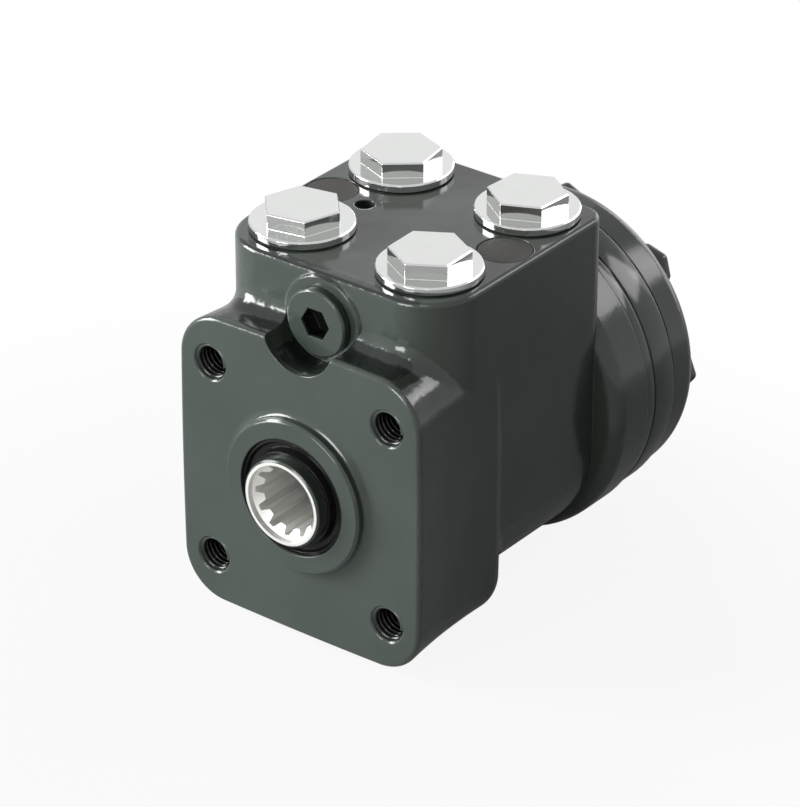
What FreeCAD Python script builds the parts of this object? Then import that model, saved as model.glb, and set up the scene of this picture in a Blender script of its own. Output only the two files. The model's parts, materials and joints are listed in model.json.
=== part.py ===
import FreeCAD, Part
import math
import os

# Orbital steering unit: a cast housing with a square mounting flange, four ports on top,
# a spool and sleeve valve along its middle and a lobed gear set behind it.
# Millimetres. The shaft runs along Y, the mounting face is the plane y = 0 and +Z is up.

V = FreeCAD.Vector
AHEAD = V(0, 1, 0)
UP = V(0, 0, 1)

# Mounting flange
hole_spacing = 58.34
mount_thread_radius = 5.0
mount_thread_depth = 19.0
countersink_extra = 0.45
flange_half_width = 40.1
flange_half_height = 43.1
flange_waist_y = 12.6
flange_waist_half_width = 38.5
flange_tail = 0.8
flange_depth = 41.6
flange_corner = 13.5
flange_bow = 0.6
flange_front_round = 1.3
flange_rear_round = 6.0

# Pilot boss in front of the flange, and the pockets inside it
pilot_radius = 22.2
pilot_foot_radius = 24.4
pilot_height = 3.1
pilot_edge = 0.7
dust_pocket_radius = 16.8
dust_pocket_depth = 5.3
shaft_seal_radius = 16.4
shaft_seal_width = 4.0
web = 1.5
near = 0.01
nose_clearance = 0.45

# Port block and neck
block_half_width = 37.4
block_top = 59.8
block_front = 11.1
block_rear = 85.1
block_front_corner = 15.5
block_rear_corner = 6.5
block_top_round = 1.4
neck_half_height = 38.6
neck_corner = 26.5
ledge_blend = 5.5

# Rear round flange
rear_flange_radius = 45.8
rear_flange_front = 79.9
rear_flange_round = 4.2
rear_face = 94.3
rear_chamfer = 0.4

# Ports and their plugs
port_spacing_x = 41.8
port_spacing_y = 42.4
port_middle_y = 50.0
port_thread_radius = 10.5
port_depth = 14.0
port_passage_radius = 3.9
plug_thread_clearance = 0.1
plug_reach = 11.0
plug_disc_radius = 14.2
plug_disc_height = 2.1
plug_disc_edge = 0.35
plug_hex_width = 19.0
plug_hex_height = 4.4
plug_wall = 3.2
plug_hex_edge = 0.35
screw_chamfer_share = 0.97
port_seal_height = 0.45
port_seal_inset = 0.9
port_seal_width = 1.6
plug_turns = {"front_left": 11.7, "front_right": 31.5, "rear_left": 39.6, "rear_right": 25.3}

# Shock valves under the two flush caps
cap_spread = 28.7
cap_middle_y = 50.7
cap_radius = 7.5
cap_height = 5.5
cap_sink = 0.1
cap_edge = 0.3
shock_chamber_radius = 4.6
shock_chamber_depth = 14.0
shock_poppet_radius = 3.9
shock_poppet_back = 1.5
shock_seat_radius = 2.5
shock_drill_depth = 9.0

# Small drilled hole on the port face
pilot_drill_x = -16.3
pilot_drill_y = 49.3
pilot_drill_radius = 2.75
pilot_drill_depth = 9.0

# Relief valve
relief_height = 46.8
relief_boss_radius = 12.6
relief_boss_front = 10.3
relief_boss_edge = 0.6
relief_scallop_radius = 11.6
relief_head_radius = 9.5
relief_head_height = 2.4
relief_head_edge = 0.5
relief_washer_height = 0.3
relief_thread_radius = 7.0
relief_thread_reach = 9.0
relief_socket_width = 8.0
relief_socket_depth = 5.0
relief_chamber_radius = 5.0
relief_chamber_depth = 34.0
relief_seat_length = 6.0
relief_seat_bore = 2.6
relief_poppet_length = 9.0
relief_poppet_radius = 4.0
relief_drill_depth = 6.0
spring_wire_width = 1.2
spring_wire_height = 0.9
seat_gap = 0.3
spring_side_gap = 0.35
spring_pitch = 4.2

# Check valve below the front right port
check_ball_radius = 3.6
check_seat_radius = 2.7
check_bush_height = 5.0
check_bush_bore = 2.4
check_lift = 2.4

# Bearing, spool and sleeve
sleeve_radius = 19.0
spool_radius = 14.0
spool_bore = 10.8
running_gap = 0.05
race_thickness = 1.0
needle_length = 2.0
spool_nose_radius = 12.35
spool_nose_reach = 4.1
spool_rear_inset = 4.0
lead_in_depth = 1.6
lead_in_radius = 10.95
spline_teeth = 12
spline_root = 10.35
spline_tip = 8.75
spline_length = 15.5
spline_gap_share = 0.47
spool_slots = 6
spool_slot_width = 3.0
spool_slot_depth = 1.4
spool_slot_length = 26.0
pin_radius = 4.0
pin_to_rear = 17.5
spool_swing = 11.0
swing_clearance = 0.35
leaf_y = 25.0
leaf_width = 7.0
leaf_thickness = 0.5
leaf_count = 6
leaf_clearance = 0.15
ring_band_width = 9.0
ring_band_thickness = 0.8
sleeve_hole_radius = 1.6
sleeve_holes = 4
sleeve_hole_rows = 3
sleeve_hole_pitch = 13.5
sleeve_groove_depth = 0.8

# Gear set and end cover
stack_radius = 44.7
stack_chamfer = 0.35
plate_thickness = 4.2
plate_bore = 10.6
plate_port_radius = 2.3
plate_port_circle = 23.6
gear_width = 9.2
lobes = 7
lobe_circle = 27.5
lobe_radius = 5.5
eccentricity = 2.6
gear_gap = 0.05
valley_clearance = 0.5
rotor_points = 24
cover_thickness = 12.9
cover_radius = 43.9
cover_groove = 1.2
cover_groove_depth = 1.3
cover_edge_round = 5.0
screw_circle = 34.4
screw_phase = 95.5
screw_radius = 4.0
screw_hole_gap = 0.2
screw_thread_gap = 0.05
screw_thread_depth = 12.0
screw_end_gap = 2.0
screw_head_width = 12.0
screw_head_height = 4.8
stack_seal_radius = 28.8
stack_seal_section = 0.6

# Cardan shaft and spacer
fork_radius = 9.2
fork_length = 15.0
fork_slot_gap = 1.1
shaft_radius = 6.3
head_length = 5.8
head_end_gap = 0.3
rotor_spline_root = 9.7
rotor_spline_tip = 8.1
spline_clearance = 0.55
spacer_gap = 0.35

# Places that follow from the sizes above
pilot_face = -pilot_height
shaft_seal_front = pilot_face + dust_pocket_depth + web
shaft_seal_rear = shaft_seal_front + shaft_seal_width
bore_front = shaft_seal_rear + web
valve_front = bore_front + 2 * race_thickness + needle_length
nose_front = pilot_face - spool_nose_reach
bore_radius = sleeve_radius + running_gap
sleeve_bore = spool_radius + running_gap
spool_rear = rear_face - spool_rear_inset
pin_y = rear_face - pin_to_rear
plate_rear = rear_face + plate_thickness
gear_rear = plate_rear + gear_width
cover_rear = gear_rear + cover_thickness
port_floor = block_top - port_depth
passage_x = (port_spacing_x / 2 - port_thread_radius + sleeve_radius) / 2
plug_seat = block_top + port_seal_height
plug_top = plug_seat + plug_disc_height + plug_hex_height
cap_floor = block_top - cap_height
shock_floor = cap_floor - shock_chamber_depth
shock_poppet_top = shock_floor + seat_gap - shock_seat_radius + shock_poppet_radius + shock_poppet_back
relief_head_front = relief_boss_front - relief_washer_height - relief_head_height
relief_chamber_end = relief_boss_front + relief_thread_reach + relief_chamber_depth
relief_seat_front = relief_chamber_end - relief_seat_length
check_floor = port_floor - check_bush_height - check_lift - 2 * check_ball_radius
orbit_direction = math.radians(screw_phase + 180 / lobes)
rotor_x = eccentricity * math.cos(orbit_direction)
rotor_z = eccentricity * math.sin(orbit_direction)


def along_y(radius, start, end, x=0, z=0):
    return Part.makeCylinder(radius, end - start, V(x, start, z), AHEAD)


def along_z(radius, bottom, top, x, y):
    return Part.makeCylinder(radius, top - bottom, V(x, y, bottom), UP)


def turned(points):
    """A solid of revolution round the shaft axis from (radius, y) points."""
    corners = [V(radius, y, 0) for radius, y in points]
    outline = Part.makePolygon(corners + corners[:1])
    return Part.Face(outline).revolve(V(0, 0, 0), AHEAD, 360)


def tube(outer, inner, start, end):
    return along_y(outer, start, end).cut(along_y(inner, start, end))


def turned_about_shaft(shape, degrees):
    """Turns a copy from +X towards +Z round the shaft axis."""
    copy = shape.copy()
    copy.rotate(V(0, 0, 0), AHEAD, -degrees)
    return copy


def ring_of(shape, count, phase=0.0):
    return [turned_about_shaft(shape, phase + 360 * k / count) for k in range(count)]


def edges_where(shape, test):
    return [edge for edge in shape.Edges if test(edge)]


def is_circle(edge, radius, y):
    curve = edge.Curve
    if not isinstance(curve, Part.Circle):
        return False
    return abs(curve.Radius - radius) < near and abs(edge.CenterOfMass.y - y) < 0.05


def meeting_point(first, first_radius, second, second_radius):
    """The crossing of two circles in the x-z plane that lies furthest out in both."""
    apart = second - first
    span = apart.Length
    share = (first_radius**2 - second_radius**2 + span**2) / (2 * span)
    height = math.sqrt(first_radius**2 - share**2)
    side = V(apart.z, 0, -apart.x) / span
    options = [first + apart / span * share + side * height * sign for sign in (1, -1)]
    return max(options, key=lambda point: point.x + point.z)


def bowed_square(half_width, half_height, bow, corner, y):
    """A square outline with gently bowed sides and round corners, as one wire."""
    side_radius = (half_height**2 + bow**2) / (2 * bow)
    top_radius = (half_width**2 + bow**2) / (2 * bow)
    side_centre = V(half_width - side_radius, 0, 0)
    top_centre = V(0, 0, half_height - top_radius)
    centre = meeting_point(side_centre, side_radius - corner, top_centre, top_radius - corner)
    low = centre + (centre - side_centre).normalize() * corner
    high = centre + (centre - top_centre).normalize() * corner
    middle = centre + ((low - centre) + (high - centre)).normalize() * corner
    arcs = []
    for sign_x, sign_z in ((1, 1), (-1, 1), (-1, -1), (1, -1)):
        points = [V(p.x * sign_x, y, p.z * sign_z) for p in (low, middle, high)]
        arcs.append(points if sign_x * sign_z > 0 else points[::-1])
    rims = [V(0, y, half_height), V(-half_width, y, 0), V(0, y, -half_height), V(half_width, y, 0)]
    edges = []
    for index, (start, through, end) in enumerate(arcs):
        following = arcs[(index + 1) % 4][0]
        edges.append(Part.Arc(start, through, end).toShape())
        edges.append(Part.Arc(end, rims[index], following).toShape())
    return Part.Wire(edges)


def hexagon_prism(width, height):
    """A hexagonal bar standing on the x-y plane, measured across its flats."""
    reach = width / math.sqrt(3)
    corners = [V(reach * math.cos(k * math.pi / 3), reach * math.sin(k * math.pi / 3), 0) for k in range(7)]
    return Part.Face(Part.makePolygon(corners)).extrude(UP * height)


def plug_hexagon():
    """The plug's crisp hexagon, with a narrow even bevel round its flat top."""
    prism = hexagon_prism(plug_hex_width, plug_hex_height)
    return prism.makeChamfer(plug_hex_edge, edges_where(prism, lambda e: e.BoundBox.ZMin > plug_hex_height - near))


def screw_hexagon(width, height):
    """A hexagon with the turned chamfer that bolt heads have round their top."""
    reach = width / math.sqrt(3)
    top_radius = width / 2 * screw_chamfer_share
    drop = (reach - top_radius) * math.tan(math.radians(30))
    cone = Part.makeCone(reach, top_radius, drop, V(0, 0, height - drop), UP)
    barrel = Part.makeCylinder(reach, height - drop, V(0, 0, 0), UP).fuse(cone)
    return hexagon_prism(width, height).common(barrel)


def spline_bar(teeth, root, tip, gap_share, length, start, centre=(0, 0), ease=0.0):
    """A bar with straight-sided teeth along Y. ease takes that much off its flanks and tips."""
    step = 2 * math.pi / teeth
    tip_half = step * (1 - gap_share) * 0.30 - ease / tip
    root_half = step * (1 - gap_share) * 0.66 - ease / root
    edges = []
    previous = None
    first = None
    for k in range(teeth):
        middle = k * step
        spots = [(root - ease, -root_half), (tip - ease, -tip_half), (tip - ease, tip_half), (root - ease, root_half)]
        points = []
        for radius, offset in spots:
            angle = middle + offset
            points.append(V(centre[0] + radius * math.cos(angle), start, centre[1] + radius * math.sin(angle)))
        if previous:
            edges.append(Part.makeLine(previous, points[0]))
        else:
            first = points[0]
        edges += [Part.makeLine(a, b) for a, b in zip(points, points[1:])]
        previous = points[-1]
    edges.append(Part.makeLine(previous, first))
    return Part.Face(Part.Wire(edges)).extrude(AHEAD * length)


def coil(outer, start, end):
    """A die spring round the Z axis, wound from flat wire."""
    inner = outer - spring_wire_width
    helix = Part.makeHelix(spring_pitch, end - start - spring_wire_height, outer)
    helix.translate(V(0, 0, start))
    corners = [
        V(inner, 0, start),
        V(outer, 0, start),
        V(outer, 0, start + spring_wire_height),
        V(inner, 0, start + spring_wire_height),
    ]
    section = Part.makePolygon(corners + corners[:1])
    return Part.Wire(helix).makePipeShell([section], True, True)


def to_shaft_axis(shape, x, z):
    """Lays a piece made round the Z axis along Y, at this x and z."""
    copy = shape.copy()
    copy.rotate(V(0, 0, 0), V(1, 0, 0), -90)
    copy.translate(V(x, 0, z))
    return copy


def stadium(half_length, radius, bottom, top, x, y):
    """A slot along X with round ends, cut along Z."""
    body = Part.makeBox(2 * half_length, 2 * radius, top - bottom, V(x - half_length, y - radius, bottom))
    ends = [along_z(radius, bottom, top, x + side * half_length, y) for side in (1, -1)]
    return body.fuse(ends)


def port_places():
    places = {}
    for row, along in (("front", -1), ("rear", 1)):
        for side, across in (("left", -1), ("right", 1)):
            x = across * port_spacing_x / 2
            places[row + "_" + side] = (x, port_middle_y + along * port_spacing_y / 2)
    return places


def mount_holes():
    half = hole_spacing / 2
    return [(x, z) for x in (-half, half) for z in (-half, half)]


def flange_block():
    """The square front block. Its sides sweep in until they run into the port block's."""
    sections = []
    for y, half_width in (
        (0, flange_half_width),
        (flange_waist_y, flange_waist_half_width),
        (flange_depth, block_half_width + flange_tail),
    ):
        sections.append(bowed_square(half_width, flange_half_height, flange_bow, flange_corner, y))
    block = Part.makeLoft(sections, True)
    front_rim = edges_where(block, lambda e: abs(e.BoundBox.YMax) < near)
    block = block.makeFillet(flange_front_round, front_rim)
    rear_rim = edges_where(block, lambda e: abs(e.BoundBox.YMin - flange_depth) < near)
    return block.makeFillet(flange_rear_round, rear_rim)


def neck_outline():
    """Flat on top with straight sides, and a wide round below each side."""
    wide = block_half_width
    low = -neck_half_height
    bend = neck_corner * (1 - math.sqrt(0.5))
    top_left, top_right = V(-wide, block_front, block_top), V(wide, block_front, block_top)
    right, under_right = V(wide, block_front, low + neck_corner), V(wide - neck_corner, block_front, low)
    under_left, left = V(neck_corner - wide, block_front, low), V(-wide, block_front, low + neck_corner)
    return Part.Wire([
        Part.makeLine(top_left, top_right),
        Part.makeLine(top_right, right),
        Part.Arc(right, V(wide - bend, block_front, low + bend), under_right).toShape(),
        Part.makeLine(under_right, under_left),
        Part.Arc(under_left, V(bend - wide, block_front, low + bend), left).toShape(),
        Part.makeLine(left, top_left),
    ])


def port_block():
    """The upright block with the ports, whose lower half is the round-bottomed neck."""
    block = Part.Face(neck_outline()).extrude(AHEAD * (block_rear - block_front))
    front = edges_where(block, lambda e: e.BoundBox.YMax < block_front + near and e.BoundBox.ZMin < block_top - 1)
    block = block.makeFillet(block_front_corner, front)
    rear = edges_where(block, lambda e: e.BoundBox.YMin > block_rear - near and e.BoundBox.ZMin < block_top - 1)
    block = block.makeFillet(block_rear_corner, rear)
    top = edges_where(block, lambda e: e.BoundBox.ZMin > block_top - near)
    return block.makeFillet(block_top_round, top)


def rear_flange():
    disc = along_y(rear_flange_radius, rear_flange_front, rear_face)
    disc = disc.makeFillet(rear_flange_round, edges_where(disc, lambda e: is_circle(e, rear_flange_radius, rear_flange_front)))
    return disc.makeChamfer(rear_chamfer, edges_where(disc, lambda e: is_circle(e, rear_flange_radius, rear_face)))


def pilot_boss():
    return turned([
        (0, web),
        (pilot_foot_radius, web),
        (pilot_foot_radius, 0),
        (pilot_radius + pilot_edge, -pilot_edge / 4),
        (pilot_radius, -pilot_edge),
        (pilot_radius, pilot_face + pilot_edge),
        (pilot_radius - pilot_edge, pilot_face),
        (0, pilot_face),
    ])


def relief_boss():
    boss = along_y(relief_boss_radius, relief_boss_front, block_front + web, 0, relief_height)
    return boss.makeChamfer(relief_boss_edge, edges_where(boss, lambda e: e.BoundBox.YMax < relief_boss_front + near))


def mounting_hole_cuts():
    cuts = []
    for x, z in mount_holes():
        cuts.append(along_y(mount_thread_radius, -web, mount_thread_depth, x, z))
        wide = mount_thread_radius + countersink_extra
        cuts.append(Part.makeCone(wide + web, mount_thread_radius, wide + web - mount_thread_radius, V(x, -web, z), AHEAD))
    return cuts


def valve_bore_cuts():
    nose = spool_nose_radius + nose_clearance
    return [
        along_y(dust_pocket_radius, pilot_face - web, pilot_face + dust_pocket_depth),
        along_y(nose, pilot_face, bore_front),
        along_y(shaft_seal_radius, shaft_seal_front, shaft_seal_rear),
        along_y(bore_radius, bore_front, rear_face + web),
    ]


def port_cuts():
    cuts = []
    for name, (x, y) in port_places().items():
        cuts.append(along_z(port_thread_radius, port_floor, block_top + web, x, y))
        if name != "front_right":
            inward = math.copysign(passage_x, x)
            cuts.append(along_z(port_passage_radius, 0, port_floor, inward, y))
    return cuts


def check_valve_cuts():
    x, y = port_places()["front_right"]
    drill = along_z(check_seat_radius, 0, check_floor, passage_x, y)
    return [along_z(check_ball_radius + seat_gap, check_floor, port_floor, passage_x, y), drill]


def shock_valve_cuts():
    cuts = []
    for side in (-1, 1):
        x = side * cap_spread
        cuts.append(along_z(cap_radius, cap_floor, block_top + web, x, cap_middle_y))
        cuts.append(along_z(shock_chamber_radius, shock_floor, cap_floor, x, cap_middle_y))
        cuts.append(along_z(shock_seat_radius, shock_floor - shock_drill_depth, shock_floor, x, cap_middle_y))
    return cuts


def relief_valve_cuts():
    thread_end = relief_boss_front + relief_thread_reach
    return [
        along_y(relief_scallop_radius, -web, relief_boss_front, 0, relief_height),
        along_y(relief_thread_radius, relief_boss_front, thread_end, 0, relief_height),
        along_y(relief_chamber_radius, thread_end, relief_chamber_end, 0, relief_height),
        along_y(relief_seat_bore, relief_chamber_end, relief_chamber_end + relief_drill_depth, 0, relief_height),
    ]


def screw_cuts():
    hole = along_y(screw_radius, rear_face - screw_thread_depth, rear_face + web, screw_circle)
    return ring_of(hole, lobes, screw_phase)


def seal_groove(face):
    """A groove for a stack seal, cut into the face that looks towards +Y."""
    half = stack_seal_section + running_gap
    return tube(stack_seal_radius + half, stack_seal_radius - half, face - 2 * stack_seal_section, face)


def make_housing():
    body = flange_block().fuse([port_block(), rear_flange(), pilot_boss()])
    body = body.removeSplitter()
    ledge = edges_where(body, is_ledge_edge)
    body = body.makeFillet(ledge_blend, ledge)
    scallop, *relief = relief_valve_cuts()
    body = body.cut(scallop).fuse(relief_boss())
    cuts = relief + mounting_hole_cuts() + valve_bore_cuts() + port_cuts() + check_valve_cuts()
    cuts += shock_valve_cuts() + screw_cuts() + [seal_groove(rear_face)]
    cuts.append(along_z(pilot_drill_radius, block_top - pilot_drill_depth, block_top + web, pilot_drill_x, pilot_drill_y))
    return body.cut(cuts)


def is_ledge_edge(edge):
    """The inside corner where the port block rises out of the flange block's top."""
    box = edge.BoundBox
    in_front = box.YMax < block_front + block_front_corner + 0.5 and box.YMin > block_front - 0.5
    return in_front and box.ZMin > flange_half_height - 8 and box.ZMax < block_top - 5 and box.XLength > 1


def stack_disc(start, thickness, bore):
    """A round plate of the rear stack with its screw holes."""
    disc = along_y(stack_radius, start, start + thickness)
    rims = edges_where(disc, lambda e: isinstance(e.Curve, Part.Circle))
    disc = disc.makeChamfer(stack_chamfer, rims)
    hole = along_y(screw_radius + screw_hole_gap, start, start + thickness, screw_circle)
    return disc.cut([bore] + ring_of(hole, lobes, screw_phase))


def make_distributor_plate():
    bore = along_y(plate_bore, rear_face, plate_rear)
    plate = stack_disc(rear_face, plate_thickness, bore)
    port = along_y(plate_port_radius, rear_face, plate_rear, plate_port_circle)
    return plate.cut(ring_of(port, lobes, screw_phase) + [seal_groove(plate_rear)])


def make_gear_ring():
    """The fixed ring, whose seven round lobes stand between the screws."""
    valley = lobe_circle - lobe_radius + 2 * eccentricity + valley_clearance
    ring = stack_disc(plate_rear, gear_width, along_y(valley, plate_rear, gear_rear))
    lobe = along_y(lobe_radius, plate_rear, gear_rear, lobe_circle)
    root = Part.makeBox(stack_seal_radius - lobe_circle, gear_width, 2 * lobe_radius, V(lobe_circle, plate_rear, -lobe_radius))
    ring = ring.fuse(ring_of(lobe.fuse(root), lobes, screw_phase + 180 / lobes))
    return ring.removeSplitter().cut(seal_groove(gear_rear))


def rotor_outline():
    """The curve that stays one lobe radius inside the path of the ring's lobe centres."""
    points = []
    count = rotor_points * (lobes - 1)
    reach = lobe_radius + gear_gap
    for k in range(count):
        t = 2 * math.pi * k / count
        x = lobe_circle * math.cos(t) - eccentricity * math.cos(lobes * t)
        z = lobe_circle * math.sin(t) - eccentricity * math.sin(lobes * t)
        slope_x = -lobe_circle * math.sin(t) + lobes * eccentricity * math.sin(lobes * t)
        slope_z = lobe_circle * math.cos(t) - lobes * eccentricity * math.cos(lobes * t)
        length = math.hypot(slope_x, slope_z)
        points.append(V(x - reach * slope_z / length, plate_rear, z + reach * slope_x / length))
    arcs = []
    for k in range(0, count, 2):
        arcs.append(Part.Arc(points[k], points[k + 1], points[(k + 2) % count]).toShape())
    return Part.Wire(arcs)


def make_rotor():
    body = Part.Face(rotor_outline()).extrude(AHEAD * (gear_width - gear_gap))
    body.translate(V(0, gear_gap / 2, 0))
    body = turned_about_shaft(body, screw_phase + 180 / lobes)
    socket = spline_bar(spline_teeth, rotor_spline_tip, rotor_spline_root, 1 - spline_gap_share, gear_width, plate_rear)
    rotor = body.cut(socket)
    rotor.translate(V(rotor_x, 0, rotor_z))
    return rotor


def make_end_cover():
    front = along_y(cover_radius - cover_groove_depth, gear_rear, gear_rear + cover_groove)
    main = along_y(cover_radius, gear_rear + cover_groove, cover_rear)
    main = main.makeFillet(cover_edge_round, edges_where(main, lambda e: is_circle(e, cover_radius, cover_rear)))
    hole = along_y(screw_radius + screw_hole_gap, gear_rear, cover_rear, screw_circle)
    return front.fuse(main).removeSplitter().cut(ring_of(hole, lobes, screw_phase))


def make_cover_screws():
    start = rear_face - screw_thread_depth + screw_end_gap
    shank = along_y(screw_radius - screw_thread_gap, start, cover_rear)
    head = to_shaft_axis(screw_hexagon(screw_head_width, screw_head_height), 0, 0)
    head.translate(V(0, cover_rear, 0))
    shank.translate(V(screw_circle, 0, 0))
    head.translate(V(screw_circle, 0, 0))
    return ring_of(shank.fuse(head).removeSplitter(), lobes, screw_phase)


def make_stack_seal(face):
    """A square-cut seal ring that fills its groove."""
    half = stack_seal_section
    return tube(stack_seal_radius + half, stack_seal_radius - half, face - 2 * half, face)


def make_dust_seal():
    """A rubber ring with a raised lip round the spool's nose."""
    outer = dust_pocket_radius
    inner = spool_nose_radius + running_gap
    floor = pilot_face + dust_pocket_depth
    return turned([
        (inner + 0.6, floor),
        (outer, floor),
        (outer, pilot_face + 0.8),
        (outer - 1.0, pilot_face + 0.5),
        (outer - 1.6, pilot_face + 1.6),
        (inner + 1.6, pilot_face + 1.6),
        (inner + 0.9, pilot_face - 0.6),
        (inner, pilot_face - 0.6),
        (inner, pilot_face + 1.0),
        (inner + 0.6, pilot_face + 2.2),
    ])


def make_shaft_seal():
    inner = spool_nose_radius + running_gap
    outer = shaft_seal_radius
    waist = shaft_seal_width / 4
    return turned([
        (inner + 0.5, shaft_seal_front),
        (outer, shaft_seal_front),
        (outer, shaft_seal_rear),
        (inner + 0.5, shaft_seal_rear),
        (inner, shaft_seal_rear - waist),
        (inner + 0.7, (shaft_seal_front + shaft_seal_rear) / 2),
        (inner, shaft_seal_front + waist),
    ])


def make_race(start):
    inner = spool_nose_radius + nose_clearance
    return tube(sleeve_radius - running_gap, inner, start, start + race_thickness)


def make_needle_cage():
    """The flat ring that holds the needles, one slot for each."""
    start = bore_front + race_thickness
    inner = spool_nose_radius + nose_clearance
    cage = tube(sleeve_radius - running_gap, inner, start, start + needle_length)
    slot = Part.makeBox(sleeve_radius - inner - 2, needle_length, 1.6, V(inner + 1, start, -0.8))
    return cage.cut(ring_of(slot, 18))


def make_sleeve():
    body = tube(sleeve_radius, sleeve_bore, valve_front, rear_face - running_gap)
    pin_hole = along_z(pin_radius, -sleeve_radius, sleeve_radius, 0, pin_y)
    half = leaf_stack_height() / 2 + leaf_clearance
    leaf_slot = Part.makeBox(2 * sleeve_radius, leaf_width + 2 * leaf_clearance, 2 * half,
                             V(-sleeve_radius, leaf_y - leaf_width / 2 - leaf_clearance, -half))
    band_half = ring_band_width / 2 + leaf_clearance
    band = tube(sleeve_radius + web, sleeve_radius - ring_band_thickness - leaf_clearance, leaf_y - band_half, leaf_y + band_half)
    cuts = [pin_hole, leaf_slot, band]
    first_row = leaf_y + ring_band_width
    for row in range(sleeve_hole_rows):
        y = first_row + row * sleeve_hole_pitch
        hole = Part.makeCylinder(sleeve_hole_radius, sleeve_radius, V(0, y, 0), V(1, 0, 0))
        cuts += ring_of(hole, sleeve_holes, 15 + 30 * (row % 2))
        inner = sleeve_radius - sleeve_groove_depth
        if row % 2 == 0:
            cuts.append(tube(sleeve_radius + web, inner, y - sleeve_hole_radius, y + sleeve_hole_radius))
    return body.cut(cuts)


def leaf_stack_height():
    return leaf_count * leaf_thickness + leaf_clearance


def make_cross_pin():
    reach = math.sqrt(sleeve_radius**2 - pin_radius**2) - running_gap
    pin = along_z(pin_radius - running_gap, -reach, reach, 0, pin_y)
    return pin.makeChamfer(0.5, edges_where(pin, lambda e: e.BoundBox.ZLength < near))


def make_spring_ring():
    outer = sleeve_radius
    half = ring_band_width / 2
    return tube(outer, outer - ring_band_thickness, leaf_y - half, leaf_y + half)


def make_leaf_springs():
    """Two bowed stacks back to back, with flat leaves between them."""
    reach = sleeve_radius - ring_band_thickness - 2 * leaf_clearance
    pieces = []
    for side in (1, -1):
        thick = leaf_thickness * leaf_count / 2
        outer = side * (leaf_clearance / 2 + thick)
        inner = side * leaf_clearance / 2
        corners = [
            V(-reach, leaf_y - leaf_width / 2, inner),
            V(reach, leaf_y - leaf_width / 2, inner),
            V(reach, leaf_y - leaf_width / 2, outer),
            V(-reach, leaf_y - leaf_width / 2, outer),
        ]
        outline = Part.makePolygon(corners + corners[:1])
        pieces.append(Part.Face(outline).extrude(AHEAD * leaf_width))
    return pieces


def make_spool():
    shoulder = valve_front
    nose = along_y(spool_nose_radius, nose_front, shoulder)
    rim = edges_where(nose, lambda e: is_circle(e, spool_nose_radius, nose_front))
    nose = nose.makeChamfer(0.5, rim)
    body = nose.fuse(along_y(spool_radius, shoulder, spool_rear)).removeSplitter()
    spline_start = nose_front + lead_in_depth
    spline_end = spline_start + spline_length
    lead = along_y(lead_in_radius, nose_front, spline_start)
    mouth = Part.makeCone(lead_in_radius, spline_tip, lead_in_radius - spline_tip, V(0, spline_start, 0), AHEAD)
    socket = spline_bar(spline_teeth, spline_tip, spline_root, 1 - spline_gap_share, spline_length, spline_start)
    rear_bore = along_y(spool_bore, spline_end, spool_rear)
    half = leaf_stack_height() / 2 + leaf_clearance
    leaf_slot = Part.makeBox(2 * spool_radius, leaf_width + 2 * leaf_clearance, 2 * half,
                             V(-spool_radius, leaf_y - leaf_width / 2 - leaf_clearance, -half))
    swing = spool_radius * math.sin(math.radians(spool_swing)) + swing_clearance
    pin_slot = stadium(swing, pin_radius + swing_clearance, -spool_radius, spool_radius, 0, pin_y)
    groove_start = leaf_y + ring_band_width
    groove = Part.makeBox(spool_slot_depth + 1, spool_slot_length, spool_slot_width,
                          V(spool_radius - spool_slot_depth, groove_start, -spool_slot_width / 2))
    return body.cut([lead, mouth, socket, rear_bore, leaf_slot, pin_slot] + ring_of(groove, spool_slots, 30))


def make_cardan_shaft():
    """Forked at the cross pin, splined in the rotor, and tilted to reach its moving centre."""
    rotor_middle = plate_rear + gear_width / 2
    tilt = math.degrees(math.atan2(eccentricity, rotor_middle - pin_y))
    fork_half = fork_length / 2
    fork = along_y(fork_radius, pin_y - fork_half, pin_y + fork_half)
    slot = Part.makeBox(2 * (pin_radius + fork_slot_gap), fork_half + pin_radius + fork_slot_gap, 2 * fork_radius,
                        V(-pin_radius - fork_slot_gap, pin_y - fork_half, -fork_radius))
    head_middle = rotor_middle - spline_clearance
    head_start = head_middle - head_length / 2
    shaft = along_y(shaft_radius, pin_y + fork_half - 1, head_start + 1)
    neck = Part.makeCone(fork_radius, shaft_radius, fork_radius - shaft_radius, V(0, pin_y + fork_half, 0), AHEAD)
    head = spline_bar(spline_teeth, rotor_spline_tip, rotor_spline_root, 1 - spline_gap_share, head_length, head_start, ease=spline_clearance)
    joined = fork.fuse([neck, shaft, head]).cut(slot)
    hinge = V(math.sin(orbit_direction), 0, -math.cos(orbit_direction))
    joined.rotate(V(0, pin_y, 0), hinge, tilt)
    return joined


def make_spacer():
    """The small disc behind the shaft. It stays at the rotor's centre as that circles round."""
    head_end = plate_rear + gear_width / 2 + head_length / 2
    radius = rotor_spline_tip - spacer_gap
    return along_y(radius, head_end + spacer_gap, gear_rear, rotor_x, rotor_z)


def make_port_plug(x, y, turn):
    disc = Part.makeCylinder(plug_disc_radius, plug_disc_height)
    disc = disc.makeChamfer(plug_disc_edge, edges_where(disc, lambda e: e.BoundBox.ZMin > plug_disc_height - near and e.BoundBox.XLength > 1))
    head = plug_hexagon()
    head.translate(UP * plug_disc_height)
    thread = Part.makeCylinder(port_thread_radius - plug_thread_clearance, plug_reach, V(0, 0, -plug_reach), UP)
    hollow = Part.makeCylinder(port_thread_radius - plug_wall, plug_reach - 1, V(0, 0, -plug_reach), UP)
    plug = thread.fuse([disc, head]).removeSplitter().cut(hollow)
    plug.rotate(V(0, 0, 0), UP, turn)
    plug.translate(V(x, y, plug_seat))
    return plug


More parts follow.
